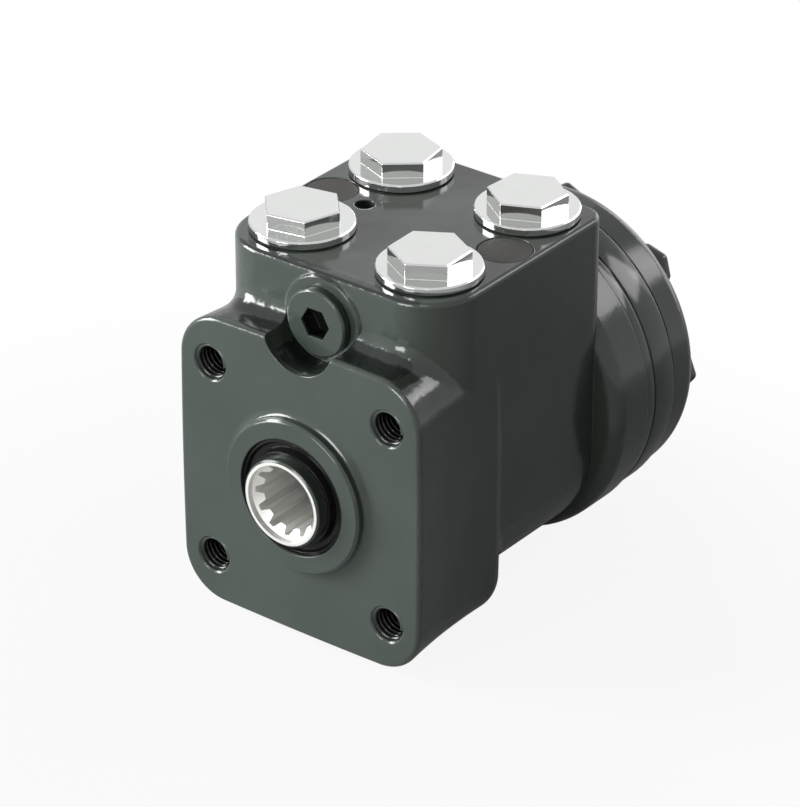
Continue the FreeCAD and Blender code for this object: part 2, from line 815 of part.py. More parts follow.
def make_port_seal(x, y):
    outer = plug_disc_radius - port_seal_inset
    return along_z(outer, block_top, plug_seat, x, y).cut(along_z(outer - port_seal_width, block_top, plug_seat, x, y))


def make_cap(side):
    cap = along_z(cap_radius - running_gap, cap_floor, block_top - cap_sink, side * cap_spread, cap_middle_y)
    return cap.makeChamfer(cap_edge, edges_where(cap, lambda e: e.BoundBox.ZMin > block_top - cap_sink - near and e.BoundBox.XLength > 1))


def ball_on_seat(radius, seat_radius, seat_height, x, y):
    """A ball at its seat's edge, held just off it by a film of oil."""
    rise = math.sqrt(radius**2 - seat_radius**2) + seat_gap
    return Part.makeSphere(radius, V(x, y, seat_height + rise))


def make_shock_spring(side):
    spring = coil(shock_chamber_radius - spring_side_gap, shock_poppet_top, cap_floor)
    spring.translate(V(side * cap_spread, cap_middle_y, 0))
    return spring


def make_shock_poppet(side):
    """A cone that closes the drilling below it, with a flat back for its spring."""
    x = side * cap_spread
    tip = shock_floor - shock_seat_radius + seat_gap
    cone = Part.makeCone(0, shock_poppet_radius, shock_poppet_radius, V(x, cap_middle_y, tip), UP)
    back = along_z(shock_poppet_radius, tip + shock_poppet_radius, shock_poppet_top, x, cap_middle_y)
    return cone.fuse(back)


def make_relief_plug():
    head = Part.makeCylinder(relief_head_radius, relief_head_height)
    head = head.makeChamfer(relief_head_edge, edges_where(head, lambda e: e.BoundBox.ZMax < near and e.BoundBox.XLength > 1))
    length = relief_head_height + relief_washer_height + relief_thread_reach - seat_gap
    thread = Part.makeCylinder(relief_thread_radius - screw_thread_gap, length)
    plug = head.fuse(thread).removeSplitter().cut(hexagon_prism(relief_socket_width, relief_socket_depth))
    plug = to_shaft_axis(plug, 0, relief_height)
    plug.translate(V(0, relief_head_front, 0))
    return plug


def make_relief_washer():
    outer = along_y(relief_head_radius - 1, relief_boss_front - relief_washer_height, relief_boss_front, 0, relief_height)
    return outer.cut(along_y(relief_thread_radius, relief_boss_front - relief_washer_height, relief_boss_front, 0, relief_height))


def make_relief_seat():
    outer = along_y(relief_chamber_radius - running_gap, relief_seat_front, relief_chamber_end, 0, relief_height)
    return outer.cut(along_y(relief_seat_bore, relief_seat_front, relief_chamber_end, 0, relief_height))


def make_relief_poppet():
    """A guided piston with a cone that closes the seat's bore."""
    cone_height = relief_poppet_radius * 0.9
    tip_radius = relief_seat_bore - seat_gap
    stop = relief_seat_front - seat_gap
    guide = along_y(relief_poppet_radius, stop - relief_poppet_length, stop - cone_height, 0, relief_height)
    cone = Part.makeCone(relief_poppet_radius, tip_radius, cone_height, V(0, stop - cone_height, relief_height), AHEAD)
    return guide.fuse(cone).removeSplitter()


def make_relief_spring():
    start = relief_boss_front + relief_thread_reach - seat_gap
    end = relief_seat_front - seat_gap - relief_poppet_length
    return to_shaft_axis(coil(relief_poppet_radius, start, end), 0, relief_height)


def make_check_bush():
    x, y = passage_x, port_places()["front_right"][1]
    outer = check_ball_radius + seat_gap - running_gap
    bottom = port_floor - check_bush_height
    return along_z(outer, bottom, port_floor, x, y).cut(along_z(check_bush_bore, bottom, port_floor, x, y))


def all_pieces():
    pieces = {
        "housing": make_housing(),
        "distributor_plate": make_distributor_plate(),
        "gear_ring": make_gear_ring(),
        "end_cover": make_end_cover(),
        "housing_seal_ring": make_stack_seal(rear_face),
        "plate_seal_ring": make_stack_seal(plate_rear),
        "cover_seal_ring": make_stack_seal(gear_rear),
        "dust_seal": make_dust_seal(),
        "shaft_seal": make_shaft_seal(),
        "front_race": make_race(bore_front),
        "needle_cage": make_needle_cage(),
        "rear_race": make_race(valve_front - race_thickness),
        "relief_plug": make_relief_plug(),
        "relief_washer": make_relief_washer(),
        "relief_spring": make_relief_spring(),
        "relief_poppet": make_relief_poppet(),
        "relief_seat": make_relief_seat(),
        "check_bush": make_check_bush(),
        "sleeve": make_sleeve(),
        "cross_pin": make_cross_pin(),
        "spring_ring": make_spring_ring(),
        "spool": make_spool(),
        "cardan_shaft": make_cardan_shaft(),
        "rotor": make_rotor(),
        "spacer": make_spacer(),
    }
    check_y = port_places()["front_right"][1]
    pieces["check_ball"] = ball_on_seat(check_ball_radius, check_seat_radius, check_floor, passage_x, check_y)
    for number, screw in enumerate(make_cover_screws(), 1):
        pieces[f"cover_screw_{number}"] = screw
    for name, stack in zip(("leaf_springs_upper", "leaf_springs_lower"), make_leaf_springs()):
        pieces[name] = stack
    for name, (x, y) in port_places().items():
        pieces["port_plug_" + name] = make_port_plug(x, y, plug_turns[name])
        pieces["port_seal_" + name] = make_port_seal(x, y)
    for name, side in (("left", -1), ("right", 1)):
        pieces["cap_" + name] = make_cap(side)
        pieces["shock_spring_" + name] = make_shock_spring(side)
        pieces["shock_poppet_" + name] = make_shock_poppet(side)
    return pieces


os.makedirs("parts", exist_ok=True)
for name, shape in all_pieces().items():
    shape.exportStep(os.path.join("parts", name + ".step"))
    print(f"{name}: {shape.Volume:.0f} mm3, valid {shape.isValid()}")
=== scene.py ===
# %% [markdown]
# # An orbital steering unit
# This is the hydraulic valve that sits under a steering wheel. The wheel's shaft turns a
# spool inside an iron casting, and a lobed gear set behind it measures the oil out.
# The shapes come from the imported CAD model. This script gives them smooth surfaces,
# threads, paint, plating and rubber, and builds the studio and the camera around them.

# %% Load the frame
import json
import math

import bmesh
import bpy
from mathutils import Matrix, Vector


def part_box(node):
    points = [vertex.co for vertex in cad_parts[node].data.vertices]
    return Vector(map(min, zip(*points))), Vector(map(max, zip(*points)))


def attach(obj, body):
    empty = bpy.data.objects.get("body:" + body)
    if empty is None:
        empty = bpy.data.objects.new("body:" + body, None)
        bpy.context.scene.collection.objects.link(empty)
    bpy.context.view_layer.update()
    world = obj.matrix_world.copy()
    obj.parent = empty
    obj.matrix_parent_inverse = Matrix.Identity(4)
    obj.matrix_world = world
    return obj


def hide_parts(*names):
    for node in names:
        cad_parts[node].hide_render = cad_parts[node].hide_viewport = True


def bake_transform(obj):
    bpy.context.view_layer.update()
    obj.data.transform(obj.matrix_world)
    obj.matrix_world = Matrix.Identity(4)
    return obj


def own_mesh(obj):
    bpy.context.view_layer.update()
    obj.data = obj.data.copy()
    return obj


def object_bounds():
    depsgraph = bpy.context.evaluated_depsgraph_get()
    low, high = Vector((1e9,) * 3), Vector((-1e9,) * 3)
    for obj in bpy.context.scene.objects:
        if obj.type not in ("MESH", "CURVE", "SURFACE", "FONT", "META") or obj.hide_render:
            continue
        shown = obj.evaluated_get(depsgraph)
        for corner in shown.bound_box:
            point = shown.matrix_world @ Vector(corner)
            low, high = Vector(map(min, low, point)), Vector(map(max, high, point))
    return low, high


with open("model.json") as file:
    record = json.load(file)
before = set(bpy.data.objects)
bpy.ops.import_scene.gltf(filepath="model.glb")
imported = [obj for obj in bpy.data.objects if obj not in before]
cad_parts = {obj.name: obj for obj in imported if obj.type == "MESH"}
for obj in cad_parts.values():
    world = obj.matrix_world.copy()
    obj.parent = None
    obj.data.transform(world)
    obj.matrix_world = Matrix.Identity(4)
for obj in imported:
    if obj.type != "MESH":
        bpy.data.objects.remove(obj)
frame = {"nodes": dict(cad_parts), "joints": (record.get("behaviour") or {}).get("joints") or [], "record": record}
nodes = frame["nodes"]
model_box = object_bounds()
mm = 0.001
print("CAD nodes:", len(nodes), "box:", [[round(v, 4) for v in corner] for corner in model_box])

# %% [markdown]
# The camera is found from the four threaded holes and the four plugs. Their places on the
# real unit are known, so one direction, distance and lens brings them all nearest to where the
# photograph has them. They end a few pixels off, because the photograph is a little too tall
# for its width. The lens is long, which is why parallel edges hardly converge.

# %% Camera
photo_width = 800
focal_pixels = 4468
view_azimuth = math.radians(37.57)
view_elevation = math.radians(28.93)
view_roll = math.radians(0.07)
view_distance = 1.2
look_at = Vector((-0.0043, 0.0491, 0.0039))

towards_camera = Vector((
    math.sin(view_azimuth) * math.cos(view_elevation),
    -math.cos(view_azimuth) * math.cos(view_elevation),
    math.sin(view_elevation),
))
level_right = (-towards_camera).cross(Vector((0, 0, 1))).normalized()
level_up = level_right.cross(-towards_camera)
camera_right = level_right * math.cos(view_roll) + level_up * math.sin(view_roll)
camera_up = level_up * math.cos(view_roll) - level_right * math.sin(view_roll)

camera_data = bpy.data.cameras.new("camera")
camera_data.sensor_fit = "HORIZONTAL"
camera_data.sensor_width = 36
camera_data.lens = focal_pixels * camera_data.sensor_width / photo_width
camera_data.clip_start = 0.05
camera_data.clip_end = 20
camera = bpy.data.objects.new("camera", camera_data)
bpy.context.scene.collection.objects.link(camera)
turn = Matrix((camera_right, camera_up, towards_camera)).transposed()
camera.matrix_world = Matrix.Translation(look_at + towards_camera * view_distance) @ turn.to_4x4()
bpy.context.scene.camera = camera
bpy.context.scene.view_settings.view_transform = "Standard"
print("lens:", round(camera_data.lens, 1), "mm")

# %% [markdown]
# Shader maths is easier to read as sums than as boxes and wires. A `Value` wraps one socket,
# and its operators add the Math nodes. A `Finish` is one material, and its one method `node`
# makes any other node from its type, its settings and what goes into its sockets.

# %% Shader helpers
class Value:
    """One output socket that can be used in sums."""

    def __init__(self, finish, socket):
        self.finish = finish
        self.socket = socket

    def combine(self, operation, first, second):
        return self.finish.node("ShaderNodeMath", {"operation": operation}, {0: first, 1: second})

    def __add__(self, other):
        return self.combine("ADD", self, other)

    def __radd__(self, other):
        return self.combine("ADD", other, self)

    def __sub__(self, other):
        return self.combine("SUBTRACT", self, other)

    def __rsub__(self, other):
        return self.combine("SUBTRACT", other, self)

    def __mul__(self, other):
        return self.combine("MULTIPLY", self, other)

    def __rmul__(self, other):
        return self.combine("MULTIPLY", other, self)


class Finish:
    """One material, with its principled shader and the nodes that feed it."""

    def __init__(self, name):
        self.material = bpy.data.materials.new(name)
        self.material.use_nodes = True
        self.tree = self.material.node_tree
        self.shader = self.tree.nodes["Principled BSDF"]

    def node(self, kind, settings=None, inputs=None, output=0):
        node = self.tree.nodes.new(kind)
        for key, value in (settings or {}).items():
            setattr(node, key, value)
        for key, value in (inputs or {}).items():
            self.join(node.inputs[key], value)
        return Value(self, node.outputs[output])

    def join(self, socket, value):
        if isinstance(value, Value):
            self.tree.links.new(value.socket, socket)
        else:
            socket.default_value = value

    def feed(self, **inputs):
        for name, value in inputs.items():
            self.join(self.shader.inputs[name.replace("_", " ")], value)

    def path(self, ray):
        return self.node("ShaderNodeLightPath", output=ray)

    def place(self):
        return self.node("ShaderNodeTexCoord", output="Object")

    def facing(self):
        """The direction that the surface faces, before any bump."""
        return self.node("ShaderNodeNewGeometry", output=1)

    def parts(self, vector):
        """The three numbers that make up a place or a direction."""
        first = self.node("ShaderNodeSeparateXYZ", {}, {0: vector})
        return [Value(self, output) for output in first.socket.node.outputs]

    def size(self, value):
        """A number without its sign."""
        return self.node("ShaderNodeMath", {"operation": "ABSOLUTE"}, {0: value})

    def noise(self, grain, detail=2.0, roughness=0.5):
        """Cloudy noise whose lumps are about as wide as the grain."""
        inputs = {"Vector": self.place(), "Scale": 1 / grain}
        inputs.update({"Detail": detail, "Roughness": roughness})
        return self.node("ShaderNodeTexNoise", {}, inputs)

    def ramp(self, value, low, high):
        """Stretches the part of a value between low and high to 0 and 1."""
        inputs = {"Value": value, "From Min": low, "From Max": high, "To Min": 0.0, "To Max": 1.0}
        return self.node("ShaderNodeMapRange", {"interpolation_type": "SMOOTHSTEP"}, inputs)

    def mix(self, share, first, second):
        """Blends two colours, each a socket or three numbers."""
        first, second = (c if isinstance(c, Value) else (*c, 1) for c in (first, second))
        inputs = {0: share, 6: first, 7: second}
        return self.node("ShaderNodeMix", {"data_type": "RGBA"}, inputs, output=2)

    def bump(self, height, depth, strength=1.0, under=None):
        inputs = {"Height": height, "Distance": depth, "Strength": strength}
        if under is not None:
            inputs["Normal"] = under
        return self.node("ShaderNodeBump", {}, inputs)

    def soft_edges(self, radius):
        return self.node("ShaderNodeBevel", {"samples": 6}, {"Radius": radius})

    def edge_mark(self, radius):
        """One along the edges and nought elsewhere, from how far the rounded normal turns."""
        both = {0: self.soft_edges(radius), 1: self.facing()}
        likeness = self.node("ShaderNodeVectorMath", {"operation": "DOT_PRODUCT"}, both, output=1)
        return self.ramp(1 - likeness, 0.02, 0.12)


def grey(level):
    return (level, level, level, 1.0)


# %% [markdown]
# The casting is sprayed with thick gloss enamel after it is machined and assembled, so one
# skin of paint runs over the casting, the plates and the screws. The paint is a dielectric,
# dark green grey, with a clear hard gloss. Under it the sand casting is slightly uneven, so
# reflections of the lamps have wavy borders, most of all on the ledge over the flange, whose
# waves are stronger. On the flat of that ledge a ragged dark patch is a painted reflection of
# the dark front of the block behind it. The walls of the mounting holes and of the hexagon
# socket are painted nearly black, as painted shade. The bevel node rounds every edge by the
# thickness of the paint, which draws the fine bright lines along the corners.

# %% Enamel
paint_thickness = 0.5 * mm
casting_wave = 9 * mm
ledge_wave = 5 * mm
reflection_patch_size = 2.5 * mm
paint_peel = 1.6 * mm
peel_height = 0.004 * mm
tone_patch = 30 * mm
paint_index = 1.46
paint_roughness, peel_roughness = 0.1, 0.06
ledge_reflection_darkness = 0.75
enamel_shade = (0.036, 0.046, 0.039)
enamel_light = (0.042, 0.053, 0.046)
shade_and_reflection_black = (0.004, 0.005, 0.0045)

bolts = next(mount for mount in frame["record"]["mounts"] if mount["name"] == "column_bolts")
hole_spacing = bolts["dims"]["spacing_x_mm"] * mm
hole_radius = bolts["dims"]["hole_r_mm"] * mm
hole_depth = 19 * mm
plug = bpy.data.objects["relief_plug"]
plug_corners = [plug.matrix_world @ Vector(corner) for corner in plug.bound_box]
plug_face = min(corner.y for corner in plug_corners)
plug_middle = sum(plug_corners, Vector()) / len(plug_corners)
socket_radius = 4.75 * mm
socket_depth = 5 * mm


def hole_shade_mask(finish, across, up, y, radius, front, back):
    """One on the walls of a hole along Y, with its axis at nought, and nought elsewhere: where the painted shade
    goes.
    """
    fade = 0.3 * mm
    close = 1 - finish.ramp(across * across + up * up, radius ** 2, (radius + fade) ** 2)
    deep = finish.ramp(y, front + fade, front + fade + mm)
    return close * deep * (1 - finish.ramp(y, back, back + mm))


def ledge_mark(finish, x, y, z):
    """One on the ledge over the flange, short of its right corner, and nought elsewhere."""
    above = finish.ramp(z, 27 * mm, 31 * mm)
    behind_front = finish.ramp(y, 0.8 * mm, 2.5 * mm)
    before_block = 1 - finish.ramp(y, 13 * mm, 16 * mm)
    beside_corner = 1 - finish.ramp(x, 28 * mm, 32 * mm)
    return above * behind_front * before_block * beside_corner


def make_enamel(name, unevenness, ledge_waves_and_reflection=0.0):
    """Gloss paint over a surface whose waves are as high as its unevenness, with painted shade in its holes and,
    on the ledge, a painted reflection.
    """
    enamel = Finish(name)
    waves = enamel.noise(casting_wave, detail=3.0, roughness=0.45)
    peel = enamel.noise(paint_peel)
    tone = enamel.ramp(enamel.noise(tone_patch), 0.3, 0.7)
    colour = enamel.mix(tone, enamel_shade, enamel_light)
    x, y, z = enamel.parts(enamel.place())
    from_hole = enamel.size(x) - hole_spacing / 2, enamel.size(z) - hole_spacing / 2
    from_plug = x - plug_middle.x, z - plug_middle.z
    socket_floor = plug_face + socket_depth
    # Painted shade: the walls of the mounting holes and of the hexagon socket are made nearly black.
    hole_shade = hole_shade_mask(enamel, *from_hole, y, hole_radius, 0, hole_depth)
    socket_shade = hole_shade_mask(enamel, *from_plug, y, socket_radius, plug_face, socket_floor)
    colour = enamel.mix(hole_shade + socket_shade, colour, shade_and_reflection_black)
    # Painted reflection: a ragged dark patch on the flat of the ledge stands for the dark front of the block
    # reflected in it.
    if ledge_waves_and_reflection:
        ledge = ledge_mark(enamel, x, y, z)
        waves = waves + ledge_waves_and_reflection * ledge * enamel.noise(ledge_wave)
        upwards = enamel.parts(enamel.facing())[2]
        flat = ledge * enamel.ramp(upwards, 0.4, 0.85)
        reflection_patches = 0.4 + 1.2 * enamel.noise(reflection_patch_size, detail=3.0, roughness=0.6)
        painted_reflection = ledge_reflection_darkness * enamel.ramp(flat * reflection_patches, 0.5, 0.62)
        colour = enamel.mix(painted_reflection, colour, shade_and_reflection_black)
    coarse = enamel.bump(waves, unevenness, under=enamel.soft_edges(paint_thickness))
    fine = enamel.bump(peel, peel_height, under=coarse)
    roughness = paint_roughness + peel_roughness * peel
    enamel.feed(Base_Color=colour, Roughness=roughness, Normal=fine, IOR=paint_index)
    return enamel.material


cast_enamel = make_enamel("cast_enamel", unevenness=0.18 * mm, ledge_waves_and_reflection=1.2)
smooth_enamel = make_enamel("smooth_enamel", unevenness=0.05 * mm)
print("materials:", cast_enamel.name, smooth_enamel.name)

# %% [markdown]
# The port plugs are turned from steel bar and plated. Plating is a metal, so its colour is
# its reflection, and only its roughness tells it from a mirror. Every metal has a fine grain
# and faint clouds. Along its edges the plating is painted lighter, a painted highlight, the
# machined steel is darker, and the other metals are a little lighter. Rubber and blackened
# steel are dull: their grain only breaks up what little they reflect.

# %% Plating, steel, brass, rubber
metal_grain = 0.35 * mm
metal_clouds = 6 * mm
grain_height = 0.004 * mm
grain_strength = 0.6
grain_roughness = 0.08
cloud_shade = 0.94


def make_metal(name, tint, roughness, coarseness=0.0, edge=0.25 * mm, polish=1.0, edge_brightness=1.12):
    """Metal whose colour along its edges is its tint times a factor; on the plating that makes a painted
    highlight.
    """
    metal = Finish(name)
    grain = metal.noise(metal_grain, detail=3.0)
    height = grain_height * (1 + coarseness)
    surface = metal.bump(grain, height, grain_strength, under=metal.soft_edges(edge))
    shade = [c * cloud_shade for c in tint]
    edge_colour = [min(c * edge_brightness, 1.0) for c in tint]
    plain = metal.mix(metal.noise(metal_clouds), shade, tint)
    metal.feed(Base_Color=metal.mix(metal.edge_mark(edge), plain, edge_colour))
    metal.feed(Metallic=polish, Roughness=roughness + grain_roughness * grain, Normal=surface)
    return metal.material


# On the plating the edges are painted almost white: a painted highlight.
plating = make_metal("bright_plating", (0.60, 0.61, 0.60), 0.05, edge_brightness=1.65)
machined_steel = make_metal("machined_steel", (0.84, 0.84, 0.81), 0.26, coarseness=2.0,
                            edge=0.14 * mm, polish=0.65, edge_brightness=0.35)
spring_steel = make_metal("spring_steel", (0.33, 0.33, 0.36), 0.35, coarseness=1.0)
brass = make_metal("brass", (0.72, 0.53, 0.27), 0.28, coarseness=1.0)


dull_edge = 0.2 * mm
dull_light = 1.35
dull_shine = 0.1


def make_dull(name, tone, roughness, grain_size, depth, index=1.45):
    """A dull finish that is lighter and a little smoother where its grain is high."""
    dull = Finish(name)
    grain = dull.noise(grain_size, detail=3.0)
    light = [c * dull_light for c in tone]
    surface = dull.bump(grain, depth, under=dull.soft_edges(dull_edge))
    dull.feed(Base_Color=dull.mix(dull.ramp(grain, 0.35, 0.7), tone, light))
    dull.feed(Roughness=roughness - dull_shine * grain, Normal=surface, IOR=index)
    return dull.material


rubber = make_dull("nitrile_rubber", (0.006, 0.006, 0.006), 0.2,
                   grain_size=0.4 * mm, depth=0.004 * mm, index=1.3)
blackened_steel = make_dull("blackened_steel", (0.030, 0.028, 0.026), 0.62,
                            grain_size=0.5 * mm, depth=0.015 * mm)
print("materials:", [m.name for m in bpy.data.materials])

finish_of_slot = {
    "enamel": smooth_enamel,
    "plating": plating,
    "machined_steel": machined_steel,
    "spring_steel": spring_steel,
    "blackened_steel": blackened_steel,
    "brass": brass,
    "rubber": rubber,
}
slot_of = {entry["node"]: entry["material_slot"] for entry in frame["record"]["subparts"]}

# %% [markdown]
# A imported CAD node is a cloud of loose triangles, so its round faces look like cut glass.
# Each piece is copied, its corners are joined, and its faces are shaded smooth except where
# they meet at a real edge. Weighting each corner's direction by the area of its faces keeps
# the flats flat and lets the narrow fillets do the turning.

# %% Smooth skins over the CAD nodes
bodies = frame["record"]["behaviour"]["bodies"]
body_of = {member: body for body, members in bodies.items() for member in members}
joining_distance = 0.002 * mm
sharp_angle = math.radians(33)
leaf_cuts = 12
leaf_step = 1.4 * mm


def finished(piece, material, body):
    """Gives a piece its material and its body."""
    piece.data.materials.clear()
    piece.data.materials.append(material)
    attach(piece, body)


def applied(piece):
    """Turns a piece and its modifiers into one plain mesh."""
    bpy.context.view_layer.update()
    graph = bpy.context.evaluated_depsgraph_get()
    mesh = bpy.data.meshes.new_from_object(piece.evaluated_get(graph), depsgraph=graph)
    mesh.name = piece.name
    piece.modifiers.clear()
    piece.data = mesh
    return piece


def cut_across(shape, side):
    """Keeps one half of a leaf and cuts it across at even steps."""
    outwards = Vector((-1, 0, 0)) if side == "_left" else Vector((1, 0, 0))
    for step in range(leaf_cuts):
        everything = list(shape.verts) + list(shape.edges) + list(shape.faces)
        bmesh.ops.bisect_plane(shape, geom=everything, plane_co=outwards * (step * leaf_step),
                               plane_no=outwards, clear_inner=step == 0)
        if step == 0:
            bmesh.ops.holes_fill(shape, edges=[edge for edge in shape.edges if edge.is_boundary])


def smooth_skin(node, side=""):
    """Copies a node, or one half of a leaf, as one closed mesh that is shaded smooth."""
    mesh = nodes[node].data.copy()
    shape = bmesh.new()
    shape.from_mesh(mesh)
    bmesh.ops.remove_doubles(shape, verts=shape.verts, dist=joining_distance)
    bmesh.ops.dissolve_degenerate(shape, edges=shape.edges, dist=joining_distance)
    if side:
        cut_across(shape, side)
    for face in shape.faces:
        face.smooth = True
    for edge in shape.edges:
        edge.smooth = len(edge.link_faces) == 2 and edge.calc_face_angle(0) < sharp_angle
    shape.to_mesh(mesh)
    shape.free()
    skin = bpy.data.objects.new(node + "_skin" + side, mesh)
    bpy.context.scene.collection.objects.link(skin)
    weights = skin.modifiers.new("weights", "WEIGHTED_NORMAL")
    weights.keep_sharp = True
    weights.weight = 100
    applied(skin)
    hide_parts(node)
    return skin


leaf_nodes = [node for node in slot_of if node.startswith("leaf_springs")]
for node, slot in slot_of.items():
    if node not in leaf_nodes:
        material = cast_enamel if node == "housing" else finish_of_slot[slot]
        finished(smooth_skin(node), material, body_of[node])
print("skins:", len(slot_of) - len(leaf_nodes))

# %% [markdown]
# Each coil spring's skin is given a mesh of its own, and its middle, its axis and its fixed
# end are found. The leaf springs are held by the sleeve at their ends and by the spool in the
# middle, so each stack is copied as two halves, each cut across at even steps. The needle
# cage is a little shorter than its seat, so that it doesn't rub on the race behind it.

# %% Spring skins
spring_of_joint = {"relief_opening": "relief_spring", "shock_opening_left": "shock_spring_left",
                   "shock_opening_right": "shock_spring_right"}
for joint in frame["joints"]:
    if joint["name"] in spring_of_joint:
        node = spring_of_joint[joint["name"]]
        low, high = [Vector(corner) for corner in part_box(node)]
        middle = (low + high) / 2
        along = 1 if node == "relief_spring" else 2
        axis = Vector((0, 0, 0))
        axis[along] = 1
        anchor = middle.copy()
        anchor[along] = low[along] if node == "relief_spring" else high[along]
        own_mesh(bpy.data.objects[node + "_skin"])

for node in leaf_nodes:
    for side, sign in (("_left", -1), ("_right", 1)):
        half = smooth_skin(node, side)
        half.data.materials.clear()
        half.data.materials.append(spring_steel)
        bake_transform(half)

cage = bpy.data.objects["needle_cage_skin"]
cage_middle = (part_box("needle_cage")[0][1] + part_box("needle_cage")[1][1]) / 2
cage_share = 0.985
for corner in cage.data.vertices:
    corner.co.y = cage_middle + (corner.co.y - cage_middle) * cage_share
print("leaf halves:", 2 * len(leaf_nodes))

# %% [markdown]
# Paint gathers on the heads of the cover's screws, so their corners are as round as soap. Each
# skin loses its sharp head and gets a soft one in the same place: hexagons with round corners,
# laid one over another, whose sizes follow a quarter circle near the top.

# %% Painted screw heads
head_corner = 1.8 * mm
head_shoulder = 1.3 * mm
corner_steps = 5
shoulder_steps = 5


def soft_hexagon(across, inset, turn):
    """Points round a hexagon with round corners, drawn in by an inset."""
    corner_reach = (across / 2 - head_corner) * 2 / math.sqrt(3)
    points = []
    for side in range(6):
        towards = turn + math.radians(60 * side)
        for step in range(corner_steps + 1):
            angle = towards + math.radians(60) * (step / corner_steps - 0.5)
            radius = head_corner - inset
            x = corner_reach * math.cos(towards) + radius * math.cos(angle)
            z = corner_reach * math.sin(towards) + radius * math.sin(angle)
            points.append((x, z))
    return points


def soften_head(skin, foot):
    """Swaps the part of a screw that stands above its foot for a soft hexagon."""
    shape = bmesh.new()
    shape.from_mesh(skin.data)
    above_foot = foot + 0.1 * mm
    head = [v for v in shape.verts if v.co.y > above_foot]
    middle = sum((v.co for v in head), Vector()) / len(head)
    top = max(v.co.y for v in head)
    widest = max(head, key=lambda v: (v.co - middle).xz.length).co - middle
    turn = math.atan2(widest.z, widest.x)
    across = widest.xz.length * math.sqrt(3)
    sharp_faces = [f for f in shape.faces if max(v.co.y for v in f.verts) > above_foot]
    bmesh.ops.delete(shape, geom=sharp_faces, context="FACES")
    levels = [(foot, 0.0)]
    for step in range(shoulder_steps + 1):
        angle = math.radians(90) * step / shoulder_steps
        height = top - head_shoulder * (1 - math.sin(angle))
        levels.append((height, head_shoulder * (1 - math.cos(angle))))
    rings = []
    for y, inset in levels:
        outline = soft_hexagon(across, inset, turn)
        rings.append([shape.verts.new((middle.x + x, y, middle.z + z)) for x, z in outline])
    soft = [shape.faces.new(rings[0]), shape.faces.new(rings[-1])]
    for low, high in zip(rings, rings[1:]):
        for k, start in enumerate(low):
            j = (k + 1) % len(low)
            soft.append(shape.faces.new((start, low[j], high[j], high[k])))
    bmesh.ops.recalc_face_normals(shape, faces=soft)
    for face in soft:
        face.smooth = True
    shape.to_mesh(skin.data)
    shape.free()
    skin.data.update()
    return across


cover_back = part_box("end_cover")[1][1]
for node in slot_of:
    if node.startswith("cover_screw"):
        across = soften_head(bpy.data.objects[node + "_skin"], cover_back)
print("screw heads:", round(across / mm, 1), "mm across flats")

# %% [markdown]
# A thread is a ridge that climbs round the wall of its hole. Here a spiral with one turn for
# each pitch carries a small square profile, and one tree puts the same thread in all four
# holes. The tree has its sizes as inputs, so the same one could make any other thread.

# %% Threads in the mounting holes
thread_pitch = 1.5 * mm
thread_depth = 0.85 * mm
thread_start = 0.6 * mm
thread_end = 18.5 * mm
thread_rise = 0.15
steps_per_turn = 36


def node_group(name, sizes):
    """A geometry tree with named number inputs, and a quick way to add nodes to it."""
    tree = bpy.data.node_groups.new(name, "GeometryNodeTree")
    for title, value in sizes.items():
        kind = "NodeSocketInt" if isinstance(value, int) else "NodeSocketFloat"
        socket = tree.interface.new_socket(title, in_out="INPUT", socket_type=kind)
        socket.default_value = value
    tree.interface.new_socket("Finish", in_out="INPUT", socket_type="NodeSocketMaterial")
    tree.interface.new_socket("Geometry", in_out="OUTPUT", socket_type="NodeSocketGeometry")
    sources = tree.nodes.new("NodeGroupInput")

    def add(kind, settings=None, **inputs):
        node = tree.nodes.new(kind)
        for key, value in (settings or {}).items():
            setattr(node, key, value)
        for key, value in inputs.items():
            numbered = key[0] == "i" and key[1:].isdigit()
            socket = node.inputs[int(key[1:]) if numbered else key.replace("_", " ")]
            if isinstance(value, bpy.types.NodeSocket):
                tree.links.new(value, socket)
            else:
                socket.default_value = value
        return node

    def close(geometry):
        whole = add("GeometryNodeRealizeInstances", Geometry=geometry)
        painted = add("GeometryNodeSetMaterial", Geometry=whole.outputs[0],
                      Material=sources.outputs["Finish"])
        last = add("NodeGroupOutput")
        tree.links.new(painted.outputs[0], last.inputs[0])
        return tree

    return add, close, sources.outputs


def piece_from_tree(name, tree, material):
    """Runs a tree on an empty object and keeps the result as a plain mesh."""
    piece = bpy.data.objects.new(name, bpy.data.meshes.new(name))
    bpy.context.scene.collection.objects.link(piece)
    maker = piece.modifiers.new("maker", "NODES")
    maker.node_group = tree
    finish_socket = next(item for item in tree.interface.items_tree if item.name == "Finish")
    maker[finish_socket.identifier] = material
    return applied(piece)


